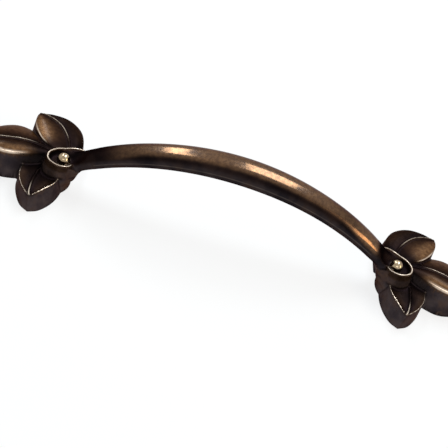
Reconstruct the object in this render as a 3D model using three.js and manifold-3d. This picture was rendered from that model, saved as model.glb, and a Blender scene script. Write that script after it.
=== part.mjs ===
// Leaf shaped cabinet pull, cast in one piece.
// Origin midway between the two screw holes on the mounting plane, X along the pull,
// Z out of the drawer front, millimetres. The two feet mirror each other about X = 0.
// Each foot is drawn once about its own screw hole: x outwards from the bow, y to the back,
// z off the mounting plane.
import * as THREE from "three";
import Module from "manifold-3d";

const wasm = await Module();
wasm.setup();

// Mounting
const HOLE_CENTRES = 96;
const HOLE_DIAMETER = 3.3;
const HOLE_DEPTH = 6.2;
const HOLE_CONE = 0.8;
const HOLE_MOUTH = 4.3;
const BACK_TRIM = 0.5;

// Bow: a circular arc that ends inside the two hubs
const BOW_HEIGHT = 21.7;
const BOW_Y = -1.3;
const BOW_END_INSET = 4;
const BOW_END_HEIGHT = 5.4;
const BOW_STEPS = 56;
const BOW_SIDES = 24;
const BOW_MIDDLE = { width: 8.0, thickness: 5.5 };
const BOW_QUARTER = { width: 7.0, thickness: 4.9 };
const BOW_NECK = { width: 4.8, thickness: 4.0 };
const BOW_CROWN_SHARE = 0.56;
const BOW_CROWN_POWER = 2.1;
const BOW_BELLY_POWER = 2.9;

// Leaves. Guide lines run from inside the hub to the tip: two edges in plan, the foot of the
// wall under each, taken BACK_TRIM past the mounting plane, and the midrib in space. Each edge
// has its height at the hub and at the tip, and the crown of the half between it and the midrib.
const FRONT_LEAF = {
  edges: [
    {
      line: [[-4.2, -3.0], [-4.1, -6.2], [-3.4, -8.6], [-2.0, -10.9], [-0.8, -12.9], [0.4, -14.6]],
      foot: [[-5.3, -3.0], [-5.2, -6.2], [-4.7, -9.0], [-3.6, -11.8], [-1.9, -14.1], [0.3, -15.3]],
      heights: [5.2, 5.2],
      crown: -0.4,
    },
    {
      line: [[5.2, -1.5], [5.6, -5.0], [5.4, -8.0], [4.1, -10.9], [2.5, -13.0], [0.9, -14.6]],
      foot: [[5.9, -1.5], [6.3, -5.2], [5.8, -8.2], [4.5, -11.3], [2.7, -13.9], [0.3, -15.3]],
      heights: [5.1, 5.1],
      crown: -0.4,
    },
  ],
  rib: [[0.6, -2.5, 5.5], [1.4, -5.6, 5.4], [1.6, -8.4, 5.3], [1.5, -10.9, 5.2],
    [1.2, -12.9, 5.1], [0.6, -14.7, 5.1]],
};
const END_LEAF = {
  edges: [
    {
      line: [[-1, 2.5], [2.5, 5.2], [6.5, 7.5], [10.9, 8.0], [14.6, 6.0], [17.5, 2.6], [19.2, -0.6]],
      foot: [[-1.1, 3.1], [2.3, 5.8], [6.4, 8.1], [10.9, 8.6], [14.8, 6.7], [17.9, 3.0],
        [19.5, -1.1]],
      heights: [5.7, 5.7],
      crown: 0.35,
    },
    {
      line: [[-1, -1.2], [3.5, -3.2], [6.4, -4.5], [10.6, -5.6], [14.2, -4.8], [17.2, -3.2],
        [19.2, -1.6]],
      foot: [[-1.2, -1.9], [3.4, -3.9], [6.3, -5.3], [10.6, -6.4], [14.3, -5.6], [17.6, -3.9],
        [19.5, -1.1]],
      heights: [8.2, 8.2],
      crown: 0.9,
    },
  ],
  rib: [[-0.5, 0.5, 8.0], [3.8, 0.9, 8.4], [7.3, 0.4, 8.8], [10.9, -0.5, 8.8], [14, -1.2, 8.5],
    [16.9, -1.3, 8.0], [19.4, -1.1, 6.9]],
};
const BACK_LEAF = {
  edges: [
    {
      line: [[-6.1, 2.0], [-6.5, 6.2], [-6.0, 9.4], [-4.4, 12.5], [-1.4, 14.7], [3.0, 15.0],
        [6.9, 14.3]],
      foot: [[-7.0, 1.9], [-7.3, 6.3], [-6.7, 9.5], [-4.9, 12.7], [-1.6, 14.9], [3.0, 15.2],
        [7.7, 14.0]],
      heights: [6.3, 6.3],
      crown: 0.9,
    },
    {
      line: [[-1.4, 0.0], [1.9, 2.0], [4.1, 4.0], [5.8, 6.5], [6.9, 8.8], [7.4, 10.9], [7.5, 12.9]],
      foot: [[-1.1, -0.3], [2.1, 1.8], [5.1, 3.9], [7.4, 6.8], [8.2, 9.8], [8.5, 12.0],
        [7.7, 14.0]],
      heights: [8.4, 7.3],
      crown: 0.6,
    },
  ],
  rib: [[-4, 2.5, 7.6], [-3, 5.4, 8.1], [-1.4, 8.1, 8.3], [0.5, 10.4, 8.3], [3, 12.2, 8.1],
    [5.5, 13.3, 7.8], [7.4, 13.8, 7.1]],
};
const LEAF_STEPS = 20;
const LEAF_HALF_STEPS = 5;
const RIB_HALF_WIDTH = 0.45;
const RIB_HEIGHT = 0.4;
const FULL_CROWN_WIDTH = 5;

// Curl on top of the hub: the lip starts on the bow's back edge and winds round the bead.
// The shoulder closes the outline on the bow side.
const CURL_LIP = [[-9.1, 0.9, 9.9], [-7.6, 1.6, 9.8], [-5.6, 1.8, 9.4], [-3.3, 1.0, 9.2],
  [-1.2, 0, 9.2], [0.3, -2, 9.2], [0.2, -4.2, 9.2], [-1.1, -5.65, 9.2], [-3.3, -6.35, 9.15],
  [-5.3, -5.8, 9.0]];
const CURL_HOOK = [[-6.1, -4.4, 8.75], [-6.0, -3.4, 8.3]];
const CURL_SHOULDER = [[-6.8, -4.7, 7.9], [-8.8, -3.4, 7.0]];
const RIM_RADIUS = 0.42;
const RIM_INSET = 0.35;
const RIM_STEPS = 36;

// Hub: from the curl's outline at the top to an ellipse at the back. The profile gives the
// height and how much of the ellipse each section has.
const HUB_BASE = { x: -1.6, y: -1.5, halfLength: 4.8, halfWidth: 5.8 };
const HUB_PROFILE = [[-BACK_TRIM, 1], [2.3, 0.95], [3.2, 0.6], [6.2, 0.25]];
const HUB_SIDES = 40;

// Pocket round the bead, and the scoop that runs into it off the bow
const POCKET = { x: -3, y: -2.75, floor: 7.75 };
const POCKET_PROFILE = [[0, 0], [1.9, 0.1], [2.5, 0.7], [2.75, 1.6], [2.9, 5], [0, 5]];
const BEAD_RADIUS = 1.65;
const BEAD_OFFSET = 0.9;
const BEAD_SINK = 0.5;
const SCOOP = [
  { at: [-8.4, -2.6, 16.4], halfWidth: 2.6 },
  { at: [-7.5, -2.65, 13.7], halfWidth: 3.0 },
  { at: [-6.7, -2.7, 12.0], halfWidth: 3.1 },
  { at: [-5.8, -2.7, 10.9], halfWidth: 2.8 },
  { at: [-4.6, -2.65, 10.3], halfWidth: 2.5 },
  { at: [-3, -2.75, 10.1], halfWidth: 2.5 },
];
const SCOOP_HALF_HEIGHT = 2.4;

// One closed body out of a geometry: equal corners joined, faces turned outwards.
function solid(geometry) {
  const g = geometry.index ? geometry.toNonIndexed() : geometry;
  const position = g.attributes.position;
  const found = new Map();
  const vertices = [];
  const triangles = [];
  for (let i = 0; i < position.count; i += 3) {
    const corner = [];
    for (let k = 0; k < 3; k += 1) {
      const p = [position.getX(i + k), position.getY(i + k), position.getZ(i + k)];
      const key = p.map((v) => Math.round(v * 1e4)).join();
      if (!found.has(key)) {
        found.set(key, vertices.length / 3);
        vertices.push(...p);
      }
      corner.push(found.get(key));
    }
    if (new Set(corner).size === 3) triangles.push(...corner);
  }
  const closed = (triVerts) =>
    new wasm.Manifold(
      new wasm.Mesh({ numProp: 3, vertProperties: new Float32Array(vertices), triVerts }),
    );
  const first = closed(new Uint32Array(triangles));
  return first.volume() > 0 ? first : closed(new Uint32Array(triangles).reverse());
}

// A closed skin through rings of points, with a fan over each end.
function loft(rings) {
  const n = rings[0].length;
  const faces = [];
  for (let i = 0; i + 1 < rings.length; i += 1) {
    for (let j = 0; j < n; j += 1) {
      const k = (j + 1) % n;
      faces.push(rings[i][j], rings[i + 1][j], rings[i + 1][k]);
      faces.push(rings[i][j], rings[i + 1][k], rings[i][k]);
    }
  }
  for (const [ring, back] of [[rings[0], false], [rings[rings.length - 1], true]]) {
    const middle = new THREE.Vector3();
    ring.forEach((p) => middle.addScaledVector(p, 1 / n));
    for (let j = 0; j < n; j += 1) {
      const k = (j + 1) % n;
      faces.push(middle, ...(back ? [ring[k], ring[j]] : [ring[j], ring[k]]));
    }
  }
  return solid(new THREE.BufferGeometry().setFromPoints(faces));
}

function spline(points, closed) {
  const list = points.map(([x, y, z]) => new THREE.Vector3(x, y, z ?? 0));
  return new THREE.CatmullRomCurve3(list, closed, "catmullrom", 0.5);
}

function bow() {
  const half = HOLE_CENTRES / 2 - BOW_END_INSET;
  const rise = BOW_HEIGHT - BOW_END_HEIGHT;
  const radius = (half * half + rise * rise) / (2 * rise);
  const reach = Math.asin(half / radius);
  const sizes = [BOW_NECK, BOW_QUARTER, BOW_MIDDLE, BOW_QUARTER, BOW_NECK];
  const section = spline(sizes.map(({ width, thickness }) => [width, thickness]), false);
  const rings = [];
  for (let i = 0; i <= BOW_STEPS; i += 1) {
    const a = reach * ((2 * i) / BOW_STEPS - 1);
    const out = new THREE.Vector3(Math.sin(a), 0, Math.cos(a));
    const centre = out.clone().multiplyScalar(radius);
    centre.add(new THREE.Vector3(0, BOW_Y, BOW_HEIGHT - radius));
    const { x: width, y: thickness } = section.getPoint(i / BOW_STEPS);
    const ring = [];
    for (let j = 0; j < BOW_SIDES; j += 1) {
      const b = (2 * Math.PI * j) / BOW_SIDES;
      const up = Math.sin(b) >= 0;
      const power = 2 / (up ? BOW_CROWN_POWER : BOW_BELLY_POWER);
      const share = up ? BOW_CROWN_SHARE : 1 - BOW_CROWN_SHARE;
      const y = (width / 2) * Math.sign(Math.cos(b)) * Math.abs(Math.cos(b)) ** power;
      const h = thickness * share * Math.sign(Math.sin(b)) * Math.abs(Math.sin(b)) ** power;
      ring.push(centre.clone().addScaledVector(out, h).add(new THREE.Vector3(0, y, 0)));
    }
    rings.push(ring);
  }
  return loft(rings);
}

// Half of a leaf's top, from the edge to the groove beside the midrib.
function leafHalf(edge, rib, crown) {
  const width = Math.hypot(edge.x - rib.x, edge.y - rib.y);
  const lie = 1 - Math.min(RIB_HALF_WIDTH, 0.4 * width) / width;
  const groove = edge.clone().lerp(rib, lie);
  groove.z = rib.z - RIB_HEIGHT * Math.min(1, width / 2);
  const rise = crown * Math.min(1, width / FULL_CROWN_WIDTH);
  const points = [];
  for (let k = 0; k <= LEAF_HALF_STEPS; k += 1) {
    const t = k / LEAF_HALF_STEPS;
    const p = edge.clone().lerp(groove, t);
    p.z += rise * Math.sin(Math.PI * t ** 0.85);
    points.push(p);
  }
  return points;
}

function leaf({ edges, rib }) {
  const midrib = spline(rib, false);
  const guides = edges.map(({ line, foot }) => [spline(line, false), spline(foot, false)]);
  const rings = [];
  for (let i = 0; i <= LEAF_STEPS; i += 1) {
    const t = i / LEAF_STEPS;
    const m = midrib.getPoint(t);
    const [a, b] = edges.map(({ heights: [hubEnd, tip], crown }, k) => {
      const [line, foot] = guides[k];
      const edge = line.getPoint(t).setZ(hubEnd + (tip - hubEnd) * t);
      return [foot.getPoint(t).setZ(-BACK_TRIM), ...leafHalf(edge, m, crown)];
    });
    rings.push([...a, m, ...b.reverse()]);
  }
  return loft(rings);
}

function hub() {
  const outline = spline([...CURL_LIP, ...CURL_SHOULDER], true);
  const { x, y, halfLength, halfWidth } = HUB_BASE;
  const top = Array.from({ length: HUB_SIDES }, (_, j) => outline.getPoint(j / HUB_SIDES));
  const rings = HUB_PROFILE.map(([height, share]) =>
    top.map((p) => {
      const turn = Math.atan2((p.y - y) / halfWidth, (p.x - x) / halfLength);
      const round = new THREE.Vector3(
        x + halfLength * Math.cos(turn),
        y + halfWidth * Math.sin(turn),
        0,
      );
      const q = p.clone().lerp(round, share);
      q.z = height;
      return q;
    }),
  );
  return loft([...rings, top]);
}

function rim() {
  const lip = CURL_LIP.map(([x, y, z]) => {
    const inwards = new THREE.Vector3(POCKET.x - x, POCKET.y - y, 0).setLength(RIM_INSET);
    return [x + inwards.x, y + inwards.y, z];
  });
  const circle = new THREE.Shape().absarc(0, 0, RIM_RADIUS, 0, 2 * Math.PI, false);
  const g = new THREE.ExtrudeGeometry(circle, {
    steps: RIM_STEPS,
    curveSegments: 5,
    bevelEnabled: false,
    extrudePath: spline([...lip, ...CURL_HOOK], false),
  });
  return solid(g);
}

// A turned shape standing on the point x, y, z.
function turned(profile, sides, x, y, z) {
  const g = new THREE.LatheGeometry(profile.map(([r, h]) => new THREE.Vector2(r, h)), sides);
  g.rotateX(Math.PI / 2);
  g.translate(x, y, z);
  return solid(g);
}

function scoop() {
  const path = spline(SCOOP.map(({ at }) => at), false);
  const widths = spline(SCOOP.map(({ halfWidth }) => [halfWidth, 0]), false);
  const rings = [];
  const steps = 14;
  const sides = 20;
  for (let i = 0; i <= steps; i += 1) {
    const centre = path.getPoint(i / steps);
    const ahead = path.getTangent(i / steps);
    const side = new THREE.Vector3(-ahead.y, ahead.x, 0).normalize();
    const over = ahead.clone().cross(side).normalize();
    const halfWidth = widths.getPoint(i / steps).x;
    const ring = [];
    for (let j = 0; j < sides; j += 1) {
      const b = (2 * Math.PI * j) / sides;
      const p = centre.clone().addScaledVector(side, halfWidth * Math.cos(b));
      ring.push(p.addScaledVector(over, SCOOP_HALF_HEIGHT * Math.sin(b)));
    }
    rings.push(ring);
  }
  return loft(rings);
}

function bead() {
  const g = new THREE.SphereGeometry(BEAD_RADIUS, 18, 12);
  g.rotateX(Math.PI / 2);
  g.translate(POCKET.x - BEAD_OFFSET, POCKET.y, POCKET.floor + BEAD_RADIUS - BEAD_SINK);
  return solid(g);
}

function screwHole() {
  const r = HOLE_DIAMETER / 2;
  const mouth = HOLE_MOUTH / 2;
  const profile = [
    [0, -1],
    [mouth + 1, -1],
    [mouth, 0],
    [r, mouth - r],
    [r, HOLE_DEPTH],
    [0, HOLE_DEPTH + HOLE_CONE],
  ];
  return turned(profile, 28, 0, 0, 0);
}

function behindBack() {
  const g = new THREE.BoxGeometry(2 * HOLE_CENTRES, HOLE_CENTRES, 10);
  g.translate(0, 0, -5);
  return solid(g);
}

// A shape of the foot put at the +X hole and mirrored to the other.
function bothFeet(shape) {
  const placed = shape.translate([HOLE_CENTRES / 2, 0, 0]);
  return placed.add(placed.mirror([1, 0, 0]));
}

const foot = hub().add(leaf(END_LEAF)).add(leaf(BACK_LEAF)).add(leaf(FRONT_LEAF));
const hollow = scoop().add(turned(POCKET_PROFILE, 32, POCKET.x, POCKET.y, POCKET.floor));

const pull = bow()
  .add(bothFeet(foot))
  .subtract(bothFeet(hollow))
  .add(bothFeet(rim().add(bead())))
  .subtract(bothFeet(screwHole()))
  .subtract(behindBack());

function meshOf(shape, name, material) {
  const made = shape.getMesh();
  const g = new THREE.BufferGeometry();
  g.setAttribute("position", new THREE.BufferAttribute(made.vertProperties, 3));
  g.setIndex(new THREE.BufferAttribute(made.triVerts, 1));
  g.computeVertexNormals();
  const mesh = new THREE.Mesh(g, material);
  mesh.name = name;
  return mesh;
}

const bronze = new THREE.MeshStandardMaterial({
  name: "antique_bronze",
  color: 0x3b2a22,
  metalness: 1,
  roughness: 0.4,
});

const group = new THREE.Group();
group.add(meshOf(pull, "leaf_pull", bronze));
export default group;
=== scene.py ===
# Leaf shaped cabinet pull: dressed scene. Sizes are in millimetres until a mesh is written.
import math
import bmesh
import bpy
import numpy as np
from mathutils import Matrix, Vector
from mathutils.kdtree import KDTree


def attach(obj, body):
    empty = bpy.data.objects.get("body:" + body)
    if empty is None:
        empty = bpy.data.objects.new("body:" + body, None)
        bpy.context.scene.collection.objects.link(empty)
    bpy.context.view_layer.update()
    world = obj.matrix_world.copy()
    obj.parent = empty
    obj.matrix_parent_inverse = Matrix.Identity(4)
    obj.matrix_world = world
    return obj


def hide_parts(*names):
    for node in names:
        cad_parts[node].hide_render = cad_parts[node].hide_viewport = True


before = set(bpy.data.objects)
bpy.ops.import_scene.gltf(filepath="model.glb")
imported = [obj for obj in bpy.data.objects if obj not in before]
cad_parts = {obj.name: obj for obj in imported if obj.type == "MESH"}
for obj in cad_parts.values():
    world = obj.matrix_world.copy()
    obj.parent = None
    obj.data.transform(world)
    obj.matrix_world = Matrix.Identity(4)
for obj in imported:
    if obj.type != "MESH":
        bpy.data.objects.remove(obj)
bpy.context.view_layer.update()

MM = 0.001

# The pull's own sizes, as in the part, with those of the thread and of the bodies that cut it
# and trim the back
HOLE_CENTRES = 96
RIGHT_HOLE = (HOLE_CENTRES / 2, 0, 0)
HOLE_DIAMETER = 3.3
HOLE_DEPTH = 6.2
HOLE_CONE = 0.8
HOLE_MOUTH = 4.3
HOLE_START = -1
MOUTH_LEAD = 0.6
THREAD_PITCH = 0.7
THREAD_DEPTH = 0.32
THREAD_RUNOUT = 0.7
BACK_TRIM = 0.5
BACK_BLOCK_DEPTH = 10

BOW_HEIGHT = 21.7
BOW_Y = -1.3
BOW_END_INSET = 4
BOW_END_HEIGHT = 5.4
BOW_SIZES = [(4.8, 4.0), (7.0, 4.9), (8.0, 5.5), (7.0, 4.9), (4.8, 4.0)]
BOW_CROWN_SHARE = 0.56
BOW_CROWN_POWER = 2.1
BOW_BELLY_POWER = 2.9

# Leaves, drawn about their screw hole. Each edge has its line in plan, the foot of its wall, its
# heights at the hub and the tip, and the crown of the half between it and the midrib. Then come
# how far that half is rubbed and over what share of its width, which is partly painted light: the
# halves that face the front are lighter and those that face the back darker. Then how bright the
# edge itself is worn, with painted highlights on the edges that face the front, the four fractions
# of its length where the wear starts, is full, fades and ends, and how many times the usual width
# it has (1 where nothing is said). The midrib is a line in space, with how bright it is worn,
# partly a painted highlight on its ridge, and the fractions of its length between which the wear
# sets in.
FRONT_LEAF = dict(
    edges=[
        dict(line=[(-4.2, -3.0), (-4.1, -6.2), (-3.4, -8.6), (-2.0, -10.9), (-0.8, -12.9),
                   (0.4, -14.6)],
             foot=[(-5.3, -3.0), (-5.2, -6.2), (-4.7, -9.0), (-3.6, -11.8), (-1.9, -14.1),
                   (0.3, -15.3)],
             heights=(5.2, 5.2), crown=-0.4, rubbed_and_lit=0.1, spread=0.9, worn_and_highlight=1.0,
             worn_and_highlight_span=(0.15, 0.4, 0.9, 1.05)),
        dict(line=[(5.2, -1.5), (5.6, -5.0), (5.4, -8.0), (4.1, -10.9), (2.5, -13.0),
                   (0.9, -14.6)],
             foot=[(5.9, -1.5), (6.3, -5.2), (5.8, -8.2), (4.5, -11.3), (2.7, -13.9),
                   (0.3, -15.3)],
             heights=(5.1, 5.1), crown=-0.4, rubbed_and_lit=0.1, spread=0.9, worn_and_highlight=1.0,
             worn_and_highlight_span=(0.15, 0.4, 0.9, 1.05)),
    ],
    rib=[(0.6, -2.5, 5.5), (1.4, -5.6, 5.4), (1.6, -8.4, 5.3), (1.5, -10.9, 5.2),
         (1.2, -12.9, 5.1), (0.6, -14.7, 5.1)],
    rib_worn_and_highlight=0.4, rib_span=(0.45, 0.85),
)
END_LEAF = dict(
    edges=[
        dict(line=[(-1, 2.5), (2.5, 5.2), (6.5, 7.5), (10.9, 8.0), (14.6, 6.0), (17.5, 2.6),
                   (19.2, -0.6)],
             foot=[(-1.1, 3.1), (2.3, 5.8), (6.4, 8.1), (10.9, 8.6), (14.8, 6.7), (17.9, 3.0),
                   (19.5, -1.1)],
             heights=(5.7, 5.7), crown=0.35, rubbed_and_lit=0.7, spread=0.9, worn_and_highlight=0.1,
             worn_and_highlight_span=(0.15, 0.4, 0.9, 1.05)),
        dict(line=[(-1, -1.2), (3.5, -3.2), (6.4, -4.5), (10.6, -5.6), (14.2, -4.8),
                   (17.2, -3.2), (19.2, -1.6)],
             foot=[(-1.2, -1.9), (3.4, -3.9), (6.3, -5.3), (10.6, -6.4), (14.3, -5.6),
                   (17.6, -3.9), (19.5, -1.1)],
             heights=(8.2, 8.2), crown=0.9, rubbed_and_lit=1.0, spread=0.5, worn_and_highlight=0.75,
             worn_and_highlight_span=(0.2, 0.45, 0.9, 1.05), worn_and_highlight_width=3.0),
    ],
    rib=[(-0.5, 0.5, 8.0), (3.8, 0.9, 8.4), (7.3, 0.4, 8.8), (10.9, -0.5, 8.8),
         (14, -1.2, 8.5), (16.9, -1.3, 8.0), (19.4, -1.1, 6.9)],
    rib_worn_and_highlight=0.36, rib_span=(0.15, 0.35),
)
BACK_LEAF = dict(
    edges=[
        dict(line=[(-6.1, 2.0), (-6.5, 6.2), (-6.0, 9.4), (-4.4, 12.5), (-1.4, 14.7),
                   (3.0, 15.0), (6.9, 14.3)],
             foot=[(-7.0, 1.9), (-7.3, 6.3), (-6.7, 9.5), (-4.9, 12.7), (-1.6, 14.9),
                   (3.0, 15.2), (7.7, 14.0)],
             heights=(6.3, 6.3), crown=0.9, rubbed_and_lit=0.15, spread=0.9, worn_and_highlight=0.1,
             worn_and_highlight_span=(0.15, 0.4, 0.9, 1.05)),
        dict(line=[(-1.4, 0.0), (1.9, 2.0), (4.1, 4.0), (5.8, 6.5), (6.9, 8.8), (7.4, 10.9),
                   (7.5, 12.9)],
             foot=[(-1.1, -0.3), (2.1, 1.8), (5.1, 3.9), (7.4, 6.8), (8.2, 9.8), (8.5, 12.0),
                   (7.7, 14.0)],
             heights=(8.4, 7.3), crown=0.6, rubbed_and_lit=0.8, spread=0.9, worn_and_highlight=0.8,
             worn_and_highlight_span=(0.15, 0.3, 0.45, 0.8), worn_and_highlight_width=1.5),
    ],
    rib=[(-4, 2.5, 7.6), (-3, 5.4, 8.1), (-1.4, 8.1, 8.3), (0.5, 10.4, 8.3), (3, 12.2, 8.1),
         (5.5, 13.3, 7.8), (7.4, 13.8, 7.1)],
    rib_worn_and_highlight=0.28, rib_span=(0.15, 0.4),
)
RIB_HALF_WIDTH = 0.45
RIB_MOST_SHARE = 0.4
RIB_HEIGHT = 0.4
RIB_FULL_WIDTH = 2
RIB_WORN_AND_HIGHLIGHT_END = (1.02, 0.85)
FULL_CROWN_WIDTH = 5
CROWN_SKEW = 0.85

# Points of a leaf: sections from hub to tip, and in each half of a section those of the wall,
# the top and the ridge beside the midrib
LEAF_SECTIONS = 90
WALL_POINTS = 8
TOP_POINTS = 15
RIDGE_POINTS = 4

CURL_LIP = [(-9.1, 0.9, 9.9), (-7.6, 1.6, 9.8), (-5.6, 1.8, 9.4), (-3.3, 1.0, 9.2),
            (-1.2, 0, 9.2), (0.3, -2, 9.2), (0.2, -4.2, 9.2), (-1.1, -5.65, 9.2),
            (-3.3, -6.35, 9.15), (-5.3, -5.8, 9.0)]
CURL_HOOK = [(-6.1, -4.4, 8.75), (-6.0, -3.4, 8.3)]
CURL_SHOULDER = [(-6.8, -4.7, 7.9), (-8.8, -3.4, 7.0)]
RIM_RADIUS = 0.42
RIM_INSET = 0.35
HUB_BASE = dict(x=-1.6, y=-1.5, half_length=4.8, half_width=5.8)
HUB_PROFILE = [(-BACK_TRIM, 1), (2.3, 0.95), (3.2, 0.6), (6.2, 0.25)]
POCKET = (-3, -2.75, 7.75)
POCKET_PROFILE = [(0, 0), (1.9, 0.1), (2.5, 0.7), (2.75, 1.6), (2.9, 5)]
BEAD_RADIUS = 1.65
BEAD_OFFSET = 0.9
BEAD_SINK = 0.5
SCOOP = [(-8.4, -2.6, 16.4, 2.6), (-7.5, -2.65, 13.7, 3.0), (-6.7, -2.7, 12.0, 3.1),
         (-5.8, -2.7, 10.9, 2.8), (-4.6, -2.65, 10.3, 2.5), (-3, -2.75, 10.1, 2.5)]
SCOOP_HALF_HEIGHT = 2.4

# Finish: how rubbed the walls are, how strong the painted reflection along the casting seam on
# both sides of the bow is and between which fractions of the bow, how worn the curl's rim is, with
# a painted highlight on its crest, over which distances from the left hole and above which height
# the painted shade on the bow's left end fades out, how polished a leaf is for how rubbed and lit
# it is, over which fractions of a leaf the rubbing sets in, the tops by the hub being left dark as
# painted shade, and its least beside the midrib, partly painted shade
WALL_RUBBED = 0.04
SEAM_REFLECTION = 0.05
SEAM_SPAN = (0.1, 0.5)
RIM_WORN_AND_HIGHLIGHT = 0.46
LEFT_END_SHADE = (13, 24)
LEFT_END_SHADE_HEIGHT = 11
LEAF_POLISH = 0.45
LEAF_HUB_SHADE = (0.1, 0.38)
LEAF_LEAST_RUBBED_AND_LIT = 0.1

# The bow's finish. Angles run round its section from the back side over the crown, in radians:
# the rubbing sets in at the back side, and ends on the front side, further down near the feet.
# The rubbing is partly painted light: the crown, where the light falls, is lighter, and the front
# side below the rubbing is left dark as painted shade. Distances run from the nearer screw hole:
# the rubbing starts past the curl, leaving the bow's end by the scoop dark, partly painted shade,
# and of the three in CALM it is weakest at the middle one, and full before the first and past the
# last, partly painted light on the ends by the curl. Below the front end the bow turns pale over
# BELLY_FADE, a paler grey that is partly a painted sheen. SCOOP_SOFT is where the bow's surface
# starts to be smoothed into the scoop.
BACK_FADE = (0, 0.7)
FRONT_END = 2.5
FRONT_END_DROP = 0.5
FRONT_DROP_SPAN = (24, 14)
FRONT_FADE = 0.45
CURL_FADE = (9.8, 11.2)
CALM = (14, 20, 30)
CALM_RUBBED_AND_LIT = 0.5
MORE_RUBBED_AND_LIT = 0.35
BELLY_PALE = 0.55
BELLY_FADE = (2.6, 3.1)
SCOOP_SOFT = (12.5, 10.5)

# How rubbed and lit, polished, pale, brassy and soft a surface is where it is the same all over,
# and how far past the middle the right half's surfaces are known. The scoop is left unrubbed and
# dark, partly painted shade, and the hub is pale, partly a painted sheen
HUB_FINISH = (0.18, 0, 1, 0, 0)
LID_FINISH = (0, 0, 0, 0, 1)
SCOOP_FINISH = (0, 0, 0, 0, 1)
POCKET_FINISH = (0, 0, 0, 0, 0)
RIM_FINISH = (0.15, 0.1, 0, 0, 0)
BEAD_FINISH = (0.8, 1, 0, 1, 0)
MIDDLE_OVERLAP = 1

# The skin: its voxel, the shares by which its points move to their neighbours' mean, one round
# each, how far the soft places spread and how much smoother they get, the gap that is closed
# where a cut leaves slivers, the share of the faces that is kept in the end, and the angle from
# which an edge is shown sharp
VOXEL = 0.205
SMOOTHING = (0.5, -0.42, 0.5, -0.42, 0.35)
SOFT_SPREAD = 12
SOFT_ROUNDS = 30
SOFT_AMOUNT = 0.6
SLIVER = 0.006
KEPT_FACES = 0.68
SHARP_ANGLE = 48

# Rounds of averaging that show what stands proud, and the height up to which the back counts
PROUD_ROUNDS = 8
NORMAL_ROUNDS = 4
BLUR_ROUNDS = 2
BACK_LIMIT = 0.02

# The photograph's camera: angles in degrees, lengths in millimetres, and the clip in metres
CAMERA_RISE, CAMERA_SWING, CAMERA_ROLL = 42.872, -4.711, 20.967
CAMERA_DISTANCE, CAMERA_ASIDE, CAMERA_ABOVE = 232.746, 0.227, 3.167
CAMERA_AIM = (0, -2.4, 0)
FOCAL_PIXELS = 899.526
PHOTO_PIXELS = 448
SENSOR_WIDTH = 36
CLIP = (0.005, 20)

# Stage, its lengths in metres
FLOOR_REACH = 3
FLOOR_DROP = 0.0001
FLOOR_GREY = 0.94
FLOOR_WHITE_SHARE = 0.8
WORLD_LIGHT = 0.1
LAMP_DISTANCE = 0.75
COOL = (0.87, 0.95, 1)
WARM = (1, 0.78, 0.5)

# Colours of the bronze
DARK_PATINA = [(0.004, 0.0028, 0.0032, 1), (0.013, 0.0075, 0.0065, 1)]
# The walls' patina, paler than the tops', partly a painted sheen
WALL_PATINA = [(0.022, 0.019, 0.024, 1), (0.062, 0.049, 0.05, 1)]
WALL_PATCHES = (0.056, 0.038, 0.033, 1)
# Brown of rubbed bronze, laid on more where painted light falls
RUBBED_AND_LIT_BROWN = [(0.092, 0.042, 0.017, 1), (0.17, 0.088, 0.038, 1)]
# Bright metal of worn edges, also used for painted highlights and a painted reflection
WORN_AND_HIGHLIGHT_METAL = (0.85, 0.71, 0.57, 1)
BEAD_BRASS = [(0.26, 0.19, 0.11, 1), (0.42, 0.33, 0.21, 1)]
# Darker tone for the hollows
HOLLOW_DARKENING = (0.008, 0.005, 0.006, 1)
PITS = (0.012, 0.008, 0.009, 1)
EDGE_TINT = (0.42, 0.35, 0.33, 1)


def spline(points, t, closed=False):
    """Points of a uniform Catmull-Rom curve at the fractions t."""
    p = np.asarray(points, float)
    n = len(p)
    u = np.asarray(t, float) * (n if closed else n - 1)
    i = np.floor(u).astype(int)
    if closed:
        w = (u - i)[:, None]
        a, b, c, d = (p[(i + k) % n] for k in (-1, 0, 1, 2))
    else:
        i = np.clip(i, 0, n - 2)
        w = (u - i)[:, None]
        q = np.vstack([2 * p[0] - p[1], p, 2 * p[-1] - p[-2]])
        a, b, c, d = (q[i + k] for k in range(4))
    m, o = (c - a) / 2, (d - b) / 2
    return ((2 * b - 2 * c + m + o) * w**3 + (-3 * b + 3 * c - 2 * m - o) * w**2
            + m * w + b)


def ease(v, low, high):
    """Smooth step of v from 0 at low to 1 at high."""
    w = np.clip((np.asarray(v, float) - low) / (high - low), 0, 1)
    return w * w * (3 - 2 * w)


def loft(rings):
    """Closed skin through rings of equal length: points and faces."""
    rings = np.asarray(rings, float)
    m, n, _ = rings.shape
    points = rings.reshape(-1, 3)
    i, j = np.meshgrid(np.arange(m - 1), np.arange(n), indexing="ij")
    k = (j + 1) % n
    quads = np.stack([i * n + j, (i + 1) * n + j, (i + 1) * n + k, i * n + k], -1).reshape(-1, 4)
    faces = [tuple(q) for q in quads]
    ends = np.vstack([rings[0].mean(0), rings[-1].mean(0)])
    last = (m - 1) * n
    for a in range(n):
        b = (a + 1) % n
        faces.append((a, b, m * n))
        faces.append((last + b, last + a, m * n + 1))
    return np.vstack([points, ends]), faces


def inset_of(points):
    """How far each point lies inside the nearer screw hole's X."""
    return HOLE_CENTRES / 2 - np.abs(points[..., 0])


def folded(points):
    """The points with those of the left half mirrored onto the right."""
    return np.abs(points) * (1, 0, 0) + points * (0, 1, 1)


def outward(shape):
    """The shape with its faces turned outwards."""
    points, faces = shape
    volume = 0.0
    for f in faces:
        for k in range(1, len(f) - 1):
            volume += np.dot(points[f[0]], np.cross(points[f[k]], points[f[k + 1]]))
    return shape if volume > 0 else (points, [tuple(reversed(f)) for f in faces])


def bow_angles():
    return np.linspace(0, 2 * math.pi, 72, endpoint=False)


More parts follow.
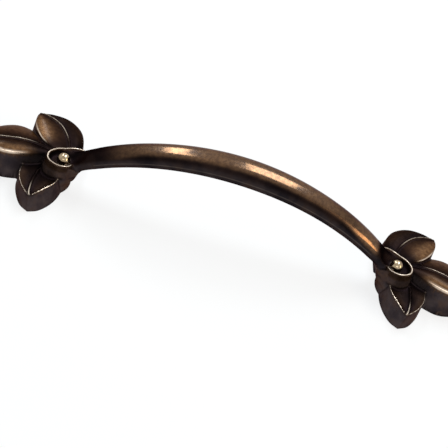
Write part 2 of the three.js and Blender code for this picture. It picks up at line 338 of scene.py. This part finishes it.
def bow_sections():
    """The bow's cross sections, from the left foot to the right."""
    half = HOLE_CENTRES / 2 - BOW_END_INSET
    rise = BOW_HEIGHT - BOW_END_HEIGHT
    radius = (half * half + rise * rise) / (2 * rise)
    reach = math.asin(half / radius)
    t = np.linspace(0, 1, 201)
    cos, sin = np.cos(bow_angles()), np.sin(bow_angles())
    up = sin >= 0
    power = 2 / np.where(up, BOW_CROWN_POWER, BOW_BELLY_POWER)
    share = np.where(up, BOW_CROWN_SHARE, 1 - BOW_CROWN_SHARE)
    across = np.sign(cos) * np.abs(cos) ** power / 2
    lift = share * np.sign(sin) * np.abs(sin) ** power
    rings = []
    for turn, (width, thickness) in zip(reach * (2 * t - 1), spline(BOW_SIZES, t)):
        r = radius + thickness * lift
        rings.append(np.stack([r * math.sin(turn), BOW_Y + width * across,
                               BOW_HEIGHT - radius + r * math.cos(turn)], -1))
    return np.array(rings)


def bow_finish(rings):
    """How rubbed and lit and how pale each point of the bow's cross sections is: rubbed and lit is
    partly painted light on the crown and painted shade on the front side and by the scoop, and
    pale is partly a painted sheen on the underside.
    """
    inset = inset_of(rings)
    b = bow_angles()
    # Partly painted light and shade: full on the lit crown, cut off on the front side, which stays
    # dark as painted shade, and weakest at the middle of CALM
    low = FRONT_END + FRONT_END_DROP * ease(inset, *FRONT_DROP_SPAN)
    near, calm, far = CALM
    handled_and_lit = CALM_RUBBED_AND_LIT + MORE_RUBBED_AND_LIT * (ease(inset, calm, far) + ease(inset, calm, near))
    rubbed_and_lit = (handled_and_lit * ease(inset, *CURL_FADE) * ease(low - b, 0, FRONT_FADE)
              * ease(b, *BACK_FADE))
    return rubbed_and_lit, BELLY_PALE * ease(b, *BELLY_FADE)


def leaf_half(edge, rib, crown):
    """Half of a leaf's top from the edge to beside the midrib, its ridge included."""
    width = math.hypot(*(edge - rib)[:2])
    lie = 1 - min(RIB_HALF_WIDTH, RIB_MOST_SHARE * width) / width
    height = RIB_HEIGHT * min(1, width / RIB_FULL_WIDTH)
    groove = edge + (rib - edge) * lie
    groove[2] = rib[2] - height
    rise = crown * min(1, width / FULL_CROWN_WIDTH)
    t = np.linspace(0, 1, TOP_POINTS)[:, None]
    top = edge + (groove - edge) * t
    top[:, 2] += rise * np.sin(math.pi * t[:, 0] ** CROWN_SKEW)
    s = np.linspace(0, 1, RIDGE_POINTS + 2)[1:-1, None]
    ridge = groove + (rib - groove) * s
    ridge[:, 2] = groove[2] + height * (0.5 - 0.5 * np.cos(math.pi * s[:, 0]))
    return np.vstack([top, ridge])


def wall(edge, foot):
    """Points down a leaf's wall, from below its edge to behind the mounting plane."""
    return edge + (foot - edge) * np.linspace(0, 1, WALL_POINTS + 1)[1:, None]


def edge_curves(edge, t):
    """The edge's own line and the foot of its wall, in space."""
    hub_end, tip = edge["heights"]
    line = np.column_stack([spline(edge["line"], t), hub_end + (tip - hub_end) * t])
    return line, np.column_stack([spline(edge["foot"], t), np.full(len(t), -BACK_TRIM)])


def leaf_rings(leaf):
    """The leaf's cross sections from the hub to the tip: wall, half, midrib, half, wall."""
    t = np.linspace(0, 1, LEAF_SECTIONS)
    rib = spline(leaf["rib"], t)
    sides = []
    for e in leaf["edges"]:
        sides.append([np.vstack([wall(line, foot)[::-1], leaf_half(line, m, e["crown"])])
                      for line, foot, m in zip(*edge_curves(e, t), rib)])
    return np.array([np.vstack([a, m, b[::-1]]) for a, m, b in zip(sides[0], rib, sides[1])])


def leaf_finish(leaf):
    """How rubbed and lit and how pale each point of leaf_rings is: the walls are pale, partly a
    painted sheen, and the top is rubbed and lit least beside the midrib and by the hub. The share
    is
    partly painted light and shade: more on the halves that face the front, less on those that face
    the back, and none by the hub, where shade falls."""
    # Painted shade: the tops stay dark by the hub, where the leaves meet
    reach = ease(np.linspace(0, 1, LEAF_SECTIONS), *LEAF_HUB_SHADE)[:, None]
    across = np.concatenate([np.linspace(0, 1, TOP_POINTS), np.ones(RIDGE_POINTS)])
    halves = []
    for e in leaf["edges"]:
        half = np.full((LEAF_SECTIONS, WALL_POINTS + len(across)), WALL_RUBBED)
        spread = LEAF_LEAST_RUBBED_AND_LIT + (1 - LEAF_LEAST_RUBBED_AND_LIT) * ease(across, e["spread"], 0)
        half[:, WALL_POINTS:] = e["rubbed_and_lit"] * reach * spread
        halves.append(half)
    rubbed_and_lit = np.hstack([halves[0], np.zeros((LEAF_SECTIONS, 1)), halves[1][:, ::-1]])
    pale = np.zeros(rubbed_and_lit.shape)
    # Walls are pale: a paler grey patina, partly a painted sheen
    pale[:, :WALL_POINTS] = pale[:, -WALL_POINTS:] = 1
    return rubbed_and_lit, pale


def hub_rings():
    """The hub's outlines, from its oval foot up to the curl's lip."""
    t = np.linspace(0, 1, 120, endpoint=False)
    top = spline(CURL_LIP + CURL_SHOULDER, t, closed=True)
    x, y = HUB_BASE["x"], HUB_BASE["y"]
    long, wide = HUB_BASE["half_length"], HUB_BASE["half_width"]
    turn = np.arctan2((top[:, 1] - y) / wide, (top[:, 0] - x) / long)
    base = np.stack([x + long * np.cos(turn), y + wide * np.sin(turn)], -1)
    rings = []
    for height, share in HUB_PROFILE:
        plan = top[:, :2] * (1 - share) + base * share
        rings.append(np.hstack([plan, np.full((len(t), 1), height)]))
    return np.array(rings + [top])


def tube_rings(path, wide, high, sides):
    """Oval sections square to a path of points."""
    ahead = np.gradient(path, axis=0)
    ahead /= np.linalg.norm(ahead, axis=1, keepdims=True)
    side = np.stack([-ahead[:, 1], ahead[:, 0], np.zeros(len(path))], -1)
    side /= np.linalg.norm(side, axis=1, keepdims=True)
    over = np.cross(ahead, side)
    b = np.linspace(0, 2 * math.pi, sides, endpoint=False)[None, :, None]
    wide, high = (np.broadcast_to(v, len(path))[:, None, None] for v in (wide, high))
    return (path[:, None] + wide * np.cos(b) * side[:, None]
            + high * np.sin(b) * over[:, None])


def rim_path():
    """The middle line of the curl's rim, a little inside the lip."""
    lip = []
    for x, y, z in CURL_LIP:
        dx, dy = POCKET[0] - x, POCKET[1] - y
        k = RIM_INSET / math.hypot(dx, dy)
        lip.append((x + dx * k, y + dy * k, z))
    return spline(lip + CURL_HOOK, np.linspace(0, 1, 150))


def rim_rings():
    return tube_rings(rim_path(), RIM_RADIUS, RIM_RADIUS, 18)


def turned(profile, sides, place):
    """Body of revolution about Z, its profile running from axis to axis."""
    profile = np.asarray(profile, float)
    b = np.linspace(0, 2 * math.pi, sides, endpoint=False)
    rings = [np.stack([r * np.cos(b), r * np.sin(b), np.full(sides, z)], -1)
             for r, z in profile[1:-1]]
    points, faces = loft(rings)
    points[-2] = (0, 0, profile[0][1])
    points[-1] = (0, 0, profile[-1][1])
    return points + np.asarray(place, float), faces


def pocket():
    profile = spline(POCKET_PROFILE, np.linspace(0, 1, 25))
    return turned(list(profile) + [(0, POCKET_PROFILE[-1][1])], 72, POCKET)


def bead():
    a = np.linspace(-math.pi / 2, math.pi / 2, 33)
    profile = np.stack([BEAD_RADIUS * np.cos(a), BEAD_RADIUS * np.sin(a)], -1)
    place = (POCKET[0] - BEAD_OFFSET, POCKET[1], POCKET[2] + BEAD_RADIUS - BEAD_SINK)
    return turned(profile, 64, place)


def scoop_rings():
    line = spline(SCOOP, np.linspace(0, 1, 60))
    return tube_rings(line[:, :3], line[:, 3], SCOOP_HALF_HEIGHT, 48)


def screw_hole():
    """Tapped blind hole: the thread is a helical wave on the bore's wall."""
    sides, steps = 36, 75
    r, mouth = HOLE_DIAMETER / 2, HOLE_MOUTH / 2
    b = np.linspace(0, 2 * math.pi, sides, endpoint=False)
    rings = []
    for z in np.linspace(HOLE_START, HOLE_DEPTH, steps):
        phase = (z / THREAD_PITCH - b / (2 * math.pi)) % 1
        cut = THREAD_DEPTH * (1 - np.abs(2 * phase - 1))
        cut *= np.clip((HOLE_DEPTH - z) / THREAD_RUNOUT, 0, 1)
        radius = np.maximum(r + cut, mouth - max(z, -MOUTH_LEAD))
        rings.append(np.stack([radius * np.cos(b), radius * np.sin(b), np.full(sides, z)], -1))
    points, faces = loft(rings)
    points[-1] = (0, 0, HOLE_DEPTH + HOLE_CONE)
    return points, faces


def both_feet(shapes):
    """Each shape of the foot at the +X hole, and mirrored to the other."""
    placed = []
    for points, faces in shapes:
        right = points + RIGHT_HOLE
        placed.append((right, faces))
        placed.append((right * (-1, 1, 1), faces))
    return placed


def nearest(points, samples, values):
    """The values of the sample nearest to each point, and how far off it is."""
    tree = KDTree(len(samples))
    for i, p in enumerate(samples):
        tree.insert(p, i)
    tree.balance()
    found = [tree.find(p) for p in points]
    return values[[f[1] for f in found]], np.array([f[2] for f in found])


def finish_samples():
    """Points on the +X half's surfaces, with how rubbed and lit, polished, pale, brassy and soft
    each is. Rubbed and lit is partly painted light and shade, pale partly a painted sheen."""
    bow = bow_sections()
    rubbed_and_lit, pale = bow_finish(bow)
    sets = [(bow, rubbed_and_lit, rubbed_and_lit, pale, 0, ease(inset_of(bow), *SCOOP_SOFT))]
    for leaf in (FRONT_LEAF, END_LEAF, BACK_LEAF):
        rubbed_and_lit, pale = leaf_finish(leaf)
        sets.append((leaf_rings(leaf) + RIGHT_HOLE, rubbed_and_lit, LEAF_POLISH * rubbed_and_lit, pale, 0, 0))
    hub = hub_rings() + RIGHT_HOLE
    sets.append((hub, *HUB_FINISH))
    lid = hub[-1] + (hub[-1].mean(0) - hub[-1]) * np.linspace(0.1, 1, 12)[:, None, None]
    sets.append((lid, *LID_FINISH))
    sets.append((scoop_rings() + RIGHT_HOLE, *SCOOP_FINISH))
    sets.append((pocket()[0] + RIGHT_HOLE, *POCKET_FINISH))
    sets.append((rim_rings() + RIGHT_HOLE, *RIM_FINISH))
    sets.append((bead()[0] + RIGHT_HOLE, *BEAD_FINISH))
    points, values = [], []
    for p, *rest in sets:
        points.append(p.reshape(-1, 3))
        values.append(np.stack([np.broadcast_to(v, p.shape[:-1]).ravel() for v in rest], -1))
    points, values = np.vstack(points), np.vstack(values)
    keep = points[:, 0] > -MIDDLE_OVERLAP
    return points[keep], values[keep]


def worn_and_highlight_lines():
    """Lines worn bright, with their strength and width: leaf edges, midribs, rim and the bow's
    seam.
    Besides wear they carry painted highlights, strongest on the edges that face the front and on
    the rim's crest, and along the seam a painted reflection."""
    t = np.linspace(0, 1, 400)
    lines = []
    for leaf in (FRONT_LEAF, END_LEAF, BACK_LEAF):
        for e in leaf["edges"]:
            start, full, fade, end = e["worn_and_highlight_span"]
            span = ease(t, start, full) * ease(t, end, fade)
            lines.append((edge_curves(e, t)[0], e["worn_and_highlight"] * span, e.get("worn_and_highlight_width", 1)))
        span = ease(t, *leaf["rib_span"]) * ease(t, *RIB_WORN_AND_HIGHLIGHT_END)
        lines.append((spline(leaf["rib"], t), leaf["rib_worn_and_highlight"] * span, 1))
    # The rim is worn and given a painted highlight along its top
    crest = rim_path() + (0, 0, RIM_RADIUS)
    lines.append((crest, np.full(len(crest), RIM_WORN_AND_HIGHLIGHT), 1))
    points = np.vstack([line[0] for line in lines]) + RIGHT_HOLE
    worn_and_highlight = np.vstack([np.column_stack([w, np.full(len(w), width)]) for _, w, width in lines])
    # Painted reflection: a faint light line along both sides of the bow, where the casting seam
    # runs
    sections = bow_sections()
    for side in (0, sections.shape[1] // 2):
        seam = spline(sections[:, side], np.linspace(*SEAM_SPAN, 400))
        points = np.vstack([points, seam * (-1, 1, 1)])
        worn_and_highlight = np.vstack([worn_and_highlight, np.full((len(seam), 2), (SEAM_REFLECTION, 1))])
    return points, worn_and_highlight


def mesh_of(shape):
    points, faces = outward(shape)
    mesh = bpy.data.meshes.new("work")
    mesh.from_pydata(points.tolist(), [], faces)
    mesh.update()
    return mesh


def work_object(mesh):
    obj = bpy.data.objects.new("work", mesh)
    bpy.context.scene.collection.objects.link(obj)
    return obj


def baked(obj):
    """The object's mesh with its modifiers, and the object gone."""
    bpy.context.view_layer.update()
    seen = obj.evaluated_get(bpy.context.evaluated_depsgraph_get())
    mesh = bpy.data.meshes.new_from_object(seen)
    bpy.data.objects.remove(obj, do_unlink=True)
    return mesh


def combined(mesh, shapes, operation):
    """The mesh joined with, or cut by, each shape in turn."""
    for shape in shapes:
        base, tool = work_object(mesh), work_object(mesh_of(shape))
        step = base.modifiers.new("step", "BOOLEAN")
        step.operation = operation
        step.solver = "MANIFOLD"
        step.object = tool
        mesh = baked(base)
        bpy.data.objects.remove(tool, do_unlink=True)
    return mesh


def arrays(mesh):
    points = np.empty(len(mesh.vertices) * 3, np.float32)
    mesh.vertices.foreach_get("co", points)
    edges = np.empty(len(mesh.edges) * 2, np.int32)
    mesh.edges.foreach_get("vertices", edges)
    return points.reshape(-1, 3).astype(float), edges.reshape(-1, 2)


def averaged(values, edges, times, amount=1.0):
    """Values smoothed over each point's neighbours."""
    n = len(values)
    i, j = edges[:, 0], edges[:, 1]
    count = np.maximum(np.bincount(np.concatenate([i, j]), minlength=n), 1)
    out = values.astype(float).copy()
    flat = out.ndim == 1
    if flat:
        out = out[:, None]
    for _ in range(times):
        total = np.empty_like(out)
        for k in range(out.shape[1]):
            total[:, k] = (np.bincount(i, out[j, k], n) + np.bincount(j, out[i, k], n)) / count
        out += amount * (total - out)
    return out[:, 0] if flat else out


def cast_body():
    """The whole casting in millimetres, its edges softened as cast metal's are."""
    leaves = [loft(leaf_rings(leaf)) for leaf in (END_LEAF, BACK_LEAF, FRONT_LEAF)]
    mesh = combined(mesh_of(loft(bow_sections())),
                    both_feet([loft(hub_rings())] + leaves), "UNION")
    mesh = combined(mesh, both_feet([loft(scoop_rings()), pocket()]), "DIFFERENCE")
    mesh = combined(mesh, both_feet([loft(rim_rings()), bead()]), "UNION")
    obj = work_object(mesh)
    remesh = obj.modifiers.new("skin", "REMESH")
    remesh.mode = "VOXEL"
    remesh.voxel_size = VOXEL
    mesh = baked(obj)
    points, edges = arrays(mesh)
    for amount in SMOOTHING:
        points = averaged(points, edges, 1, amount)
    values, _ = nearest(folded(points), *finish_samples())
    soft = averaged(values[:, -1], edges, SOFT_SPREAD)[:, None]
    points += soft * (averaged(points, edges, SOFT_ROUNDS, SOFT_AMOUNT) - points)
    mesh.vertices.foreach_set("co", points.astype(np.float32).ravel())
    mesh.update()
    x, y = HOLE_CENTRES, HOLE_CENTRES / 2
    block = [(-x, -y), (x, -y), (x, y), (-x, y)]
    behind = loft([[(a, b, z) for a, b in block] for z in (-BACK_BLOCK_DEPTH, 0)])
    mesh = combined(mesh, [behind] + both_feet([screw_hole()]), "DIFFERENCE")
    work = bmesh.new()
    work.from_mesh(mesh)
    bmesh.ops.remove_doubles(work, verts=work.verts, dist=SLIVER)
    work.to_mesh(mesh)
    work.free()
    return mesh


def finish(mesh):
    """What bronze reads at each point, by name: how rubbed and lit, polished, pale and brassy it
    is, how worn and highlighted the nearest worn line is, its distance over its width, and how
    proud the point stands. Rubbed and lit is partly painted light and shade, pale partly a painted
    sheen, and the worn lines partly painted highlights."""
    points, edges = arrays(mesh)
    normals = np.empty(len(mesh.vertices) * 3, np.float32)
    mesh.vertex_normals.foreach_get("vector", normals)
    normals = normals.reshape(-1, 3).astype(float)
    smooth = averaged(points, edges, PROUD_ROUNDS)
    proud = np.sum((points - smooth) * averaged(normals, edges, NORMAL_ROUNDS), 1)
    values, _ = nearest(folded(points), *finish_samples())
    values = averaged(values, edges, BLUR_ROUNDS)
    back = points[:, 2] < BACK_LIMIT
    worn_and_highlight, gap = nearest(folded(points), *worn_and_highlight_lines())
    gap, worn_and_highlight = gap / worn_and_highlight[:, 1], worn_and_highlight[:, 0]
    values[back] = 0
    worn_and_highlight[back] = 0
    # Painted shade: the top of the bow's left end is darkened, its rubbed share and polish taken
    # away, fading out over the given distances from the left hole
    from_left = HOLE_CENTRES / 2 + points[:, 0]
    left_end_shade = ease(from_left, LEFT_END_SHADE[1], LEFT_END_SHADE[0])
    left_end_shade *= (from_left > 0) & (points[:, 2] > LEFT_END_SHADE_HEIGHT)
    return {
        "rubbed_and_lit": values[:, 0] * (1 - left_end_shade),
        "polished": values[:, 1] * (1 - left_end_shade),
        "pale": values[:, 2],
        "brassy": values[:, 3],
        "worn_and_highlight": averaged(worn_and_highlight, edges, BLUR_ROUNDS),
        "gap": gap,
        "proud": averaged(proud, edges, BLUR_ROUNDS),
    }


def put(mesh, name, values):
    """Writes a number to each of the mesh's points, under a name."""
    layer = mesh.attributes.new(name, "FLOAT", "POINT")
    layer.data.foreach_set("value", np.asarray(values, np.float32))


def thinned(mesh):
    """The mesh with fewer faces where it is smooth. What put wrote stays on it."""
    obj = work_object(mesh)
    fewer = obj.modifiers.new("fewer", "DECIMATE")
    fewer.ratio = KEPT_FACES
    return baked(obj)


class Nodes:
    """Short calls to build the nodes of a material or world."""

    def __init__(self, owner):
        owner.use_nodes = True
        self.tree = owner.node_tree
        self.tree.nodes.clear()

    def add(self, kind, inputs=None, **settings):
        node = self.tree.nodes.new(kind)
        for key, value in settings.items():
            setattr(node, key, value)
        for key, value in (inputs or {}).items():
            if isinstance(value, bpy.types.NodeSocket):
                self.tree.links.new(value, node.inputs[key])
            else:
                node.inputs[key].default_value = value
        return node

    def math(self, operation, a, b=0.0, clamp=False):
        return self.add("ShaderNodeMath", {0: a, 1: b}, operation=operation,
                        use_clamp=clamp).outputs[0]

    def ramp(self, value, low, high, start=0.0, end=1.0):
        inputs = {"Value": value, "From Min": low, "From Max": high,
                  "To Min": start, "To Max": end}
        return self.add("ShaderNodeMapRange", inputs, clamp=True,
                        interpolation_type="SMOOTHSTEP").outputs[0]

    def mix(self, share, a, b):
        node = self.add("ShaderNodeMix", data_type="RGBA")
        for socket, value in ((node.inputs[0], share), (node.inputs[6], a), (node.inputs[7], b)):
            if isinstance(value, bpy.types.NodeSocket):
                self.tree.links.new(value, socket)
            else:
                socket.default_value = value
        return node.outputs[2]

    def noise(self, place, scale, detail=3.0, rough=0.55):
        return self.add("ShaderNodeTexNoise", {"Vector": place, "Scale": scale, "Detail": detail,
                                               "Roughness": rough}).outputs["Fac"]

    def attribute(self, name):
        return self.add("ShaderNodeAttribute", attribute_name=name).outputs["Fac"]


def bronze():
    material = bpy.data.materials.new("antique_bronze_rubbed")
    n = Nodes(material)
    place = n.add("ShaderNodeTexCoord").outputs["Object"]
    rubbed_and_lit, polished, pale, brassy, worn_and_highlight, gap, proud = (
        n.attribute(name)
        for name in ("rubbed_and_lit", "polished", "pale", "brassy", "worn_and_highlight", "gap", "proud")
    )
    cloud = n.noise(place, 160, 4)
    grain = n.noise(place, 1100, 5, 0.65)
    speck = n.noise(place, 2600, 3, 0.6)

    # Dark patina, browner where it was rubbed, unevenly. The rubbed share also lays on painted
    # light
    # and shade: browner on the bow's crown and the leaf halves that face the front, darker on
    # those that face the back, on the bow's front side and by the hubs
    uneven = n.math("MULTIPLY", n.math("SUBTRACT", cloud, 0.5), 0.5)
    uneven = n.math("ADD", uneven, n.math("MULTIPLY", n.math("SUBTRACT", grain, 0.5), 0.5))
    share = n.math("MULTIPLY", rubbed_and_lit, n.math("ADD", uneven, 1.0), clamp=True)
    mottle = n.ramp(cloud, 0.35, 0.7)
    dark = n.mix(mottle, *DARK_PATINA)
    wall = n.mix(mottle, *WALL_PATINA)
    wall = n.mix(n.ramp(n.noise(place, 330, 4), 0.48, 0.72), wall, WALL_PATCHES)
    brown = n.mix(n.ramp(grain, 0.3, 0.7), *RUBBED_AND_LIT_BROWN)
    # Pale places (walls, hub, the bow's underside) take the paler wall patina, partly a painted
    # sheen
    colour = n.mix(share, n.mix(pale, dark, wall), brown)

    # Worn through along the leaf edges, midribs and the curl's rim, partly painted highlights,
    # with a painted reflection along the bow's seam, then the bead, a darker tone in the hollows,
    # and pits
    line = n.math("MULTIPLY", worn_and_highlight, n.ramp(gap, 0.06, 0.25, 1.0, 0.0))
    line = n.math("MULTIPLY", line, n.ramp(n.noise(place, 520, 3), 0.36, 0.6, 0.65, 1.0))
    colour = n.mix(line, colour, WORN_AND_HIGHLIGHT_METAL)
    colour = n.mix(brassy, colour, n.mix(n.ramp(grain, 0.35, 0.7), *BEAD_BRASS))
    # Darker in the hollows, by how far each point lies below its neighbours
    colour = n.mix(n.ramp(proud, -0.06, -0.015, 0.8, 0.0), colour, HOLLOW_DARKENING)
    colour = n.mix(n.ramp(speck, 0.66, 0.74, 0.0, 0.4), colour, PITS)

    # Smoother where it was polished or worn through, with a fine grain everywhere
    smooth = n.math("ADD", n.math("MULTIPLY", polished, n.math("ADD", uneven, 1.0)), line)
    rough = n.math("SUBTRACT", n.ramp(grain, 0.2, 0.8, 0.5, 0.56),
                   n.math("MULTIPLY", n.ramp(smooth, 0.1, 0.75), 0.4))
    height = n.math("ADD", n.math("MULTIPLY", grain, 0.7), n.math("MULTIPLY", speck, 0.3))
    bump = n.add("ShaderNodeBump", {"Strength": 0.16, "Distance": 0.00006, "Height": height})
    shader = n.add("ShaderNodeBsdfPrincipled", {
        "Base Color": colour,
        "Metallic": 1.0,
        "Specular Tint": EDGE_TINT,
        "Roughness": rough,
        "Normal": bump.outputs[0],
        "Coat Weight": n.math("MULTIPLY", polished, 0.5, clamp=True),
        "Coat Roughness": 0.22,
    })
    out = n.add("ShaderNodeOutputMaterial")
    n.tree.links.new(shader.outputs[0], out.inputs[0])
    return material


def background_rays(n):
    """1 for camera, mirror and glass rays, which see the white background, and 0 for others."""
    path = n.add("ShaderNodeLightPath")
    seen = n.math("ADD", path.outputs["Is Camera Ray"], path.outputs["Is Glossy Ray"])
    return n.math("ADD", seen, path.outputs["Is Transmission Ray"], clamp=True)


def floor_paint():
    material = bpy.data.materials.new("pale_floor")
    n = Nodes(material)
    diffuse = n.add("ShaderNodeBsdfDiffuse", {"Color": (FLOOR_GREY,) * 3 + (1,)})
    white = n.add("ShaderNodeEmission", {"Color": (1, 1, 1, 1), "Strength": 1.0})
    share = n.math("MULTIPLY", background_rays(n), FLOOR_WHITE_SHARE)
    mixed = n.add("ShaderNodeMixShader", {0: share, 1: diffuse.outputs[0], 2: white.outputs[0]})
    out = n.add("ShaderNodeOutputMaterial")
    n.tree.links.new(mixed.outputs[0], out.inputs[0])
    return material


def studio_world():
    world = bpy.data.worlds.new("studio")
    n = Nodes(world)
    strength = n.ramp(background_rays(n), 0, 1, WORLD_LIGHT, 1.0)
    white = n.add("ShaderNodeBackground", {"Color": (1, 1, 1, 1), "Strength": strength})
    out = n.add("ShaderNodeOutputWorld")
    n.tree.links.new(white.outputs[0], out.inputs[0])
    return world


def lamp(name, azimuth, elevation, size, radiance, colour=(1, 1, 1), tilt=0):
    """A soft panel aimed at the pull, its first side along the pull, then turned in its own
    plane by tilt. Azimuth runs from +Y towards +X. Angles are in degrees, sizes in metres."""
    a, e = math.radians(azimuth), math.radians(elevation)
    place = Vector((math.sin(a) * math.cos(e), math.cos(a) * math.cos(e), math.sin(e)))
    along = (Vector((1, 0, 0)) - place * place.x).normalized()
    along.rotate(Matrix.Rotation(math.radians(tilt), 3, place))
    light = bpy.data.lights.new(name, "AREA")
    light.shape = "RECTANGLE"
    light.size, light.size_y = size
    light.energy = math.pi * size[0] * size[1] * radiance
    light.color = colour
    obj = bpy.data.objects.new(name, light)
    turn = Matrix((along, place.cross(along), place)).transposed()
    obj.matrix_world = Matrix.Translation(place * LAMP_DISTANCE) @ turn.to_4x4()
    bpy.context.scene.collection.objects.link(obj)


def camera():
    """The photograph's camera, recovered from matching points of the two feet."""
    rise, swing, roll = map(math.radians, (CAMERA_RISE, CAMERA_SWING, CAMERA_ROLL))
    back = Vector((math.sin(swing) * math.cos(rise), -math.cos(swing) * math.cos(rise),
                   math.sin(rise)))
    level = Vector((math.cos(swing), math.sin(swing), 0))
    upright = back.cross(level)
    right = level * math.cos(roll) + upright * math.sin(roll)
    up = upright * math.cos(roll) - level * math.sin(roll)
    place = (right * CAMERA_ASIDE + up * CAMERA_ABOVE + back * CAMERA_DISTANCE
             + Vector(CAMERA_AIM))
    data = bpy.data.cameras.new("camera")
    data.sensor_width = SENSOR_WIDTH
    data.lens = FOCAL_PIXELS * SENSOR_WIDTH / PHOTO_PIXELS
    data.clip_start, data.clip_end = CLIP
    obj = bpy.data.objects.new("camera", data)
    turn = Matrix((right, up, back)).transposed()
    obj.matrix_world = Matrix.Translation(place * MM) @ turn.to_4x4()
    bpy.context.scene.collection.objects.link(obj)
    bpy.context.scene.camera = obj


camera()

casting = cast_body()
for name, values in finish(casting).items():
    put(casting, name, values)
casting = thinned(casting)
casting.name = "leaf_pull_casting"
casting.transform(Matrix.Scale(MM, 4))
for polygon in casting.polygons:
    polygon.use_smooth = True
casting.set_sharp_from_angle(angle=math.radians(SHARP_ANGLE))
casting.materials.clear()
casting.materials.append(bronze())
piece = bpy.data.objects.new("leaf_pull_casting", casting)
bpy.context.scene.collection.objects.link(piece)
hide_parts("leaf_pull")
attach(piece, "root")

floor_mesh = bpy.data.meshes.new("floor")
corners = [(-1, -1), (1, -1), (1, 1), (-1, 1)]
floor_mesh.from_pydata([(x * FLOOR_REACH, y * FLOOR_REACH, 0) for x, y in corners], [],
                       [(0, 1, 2, 3)])
floor_mesh.materials.append(floor_paint())
floor = bpy.data.objects.new("floor", floor_mesh)
floor.location = (0, 0, -FLOOR_DROP)
bpy.context.scene.collection.objects.link(floor)

lamp("front", 180, 36, (0.5, 0.26), 2)
lamp("left_back", -38, 48, (0.1, 0.6), 13, COOL, -8)
lamp("back", 30, 62, (0.28, 0.54), 9.6, COOL)
lamp("right", 108, 25, (0.2, 0.36), 7.5, WARM)
bpy.context.scene.world = studio_world()
bpy.context.scene.view_settings.view_transform = "Standard"

bpy.context.view_layer.update()
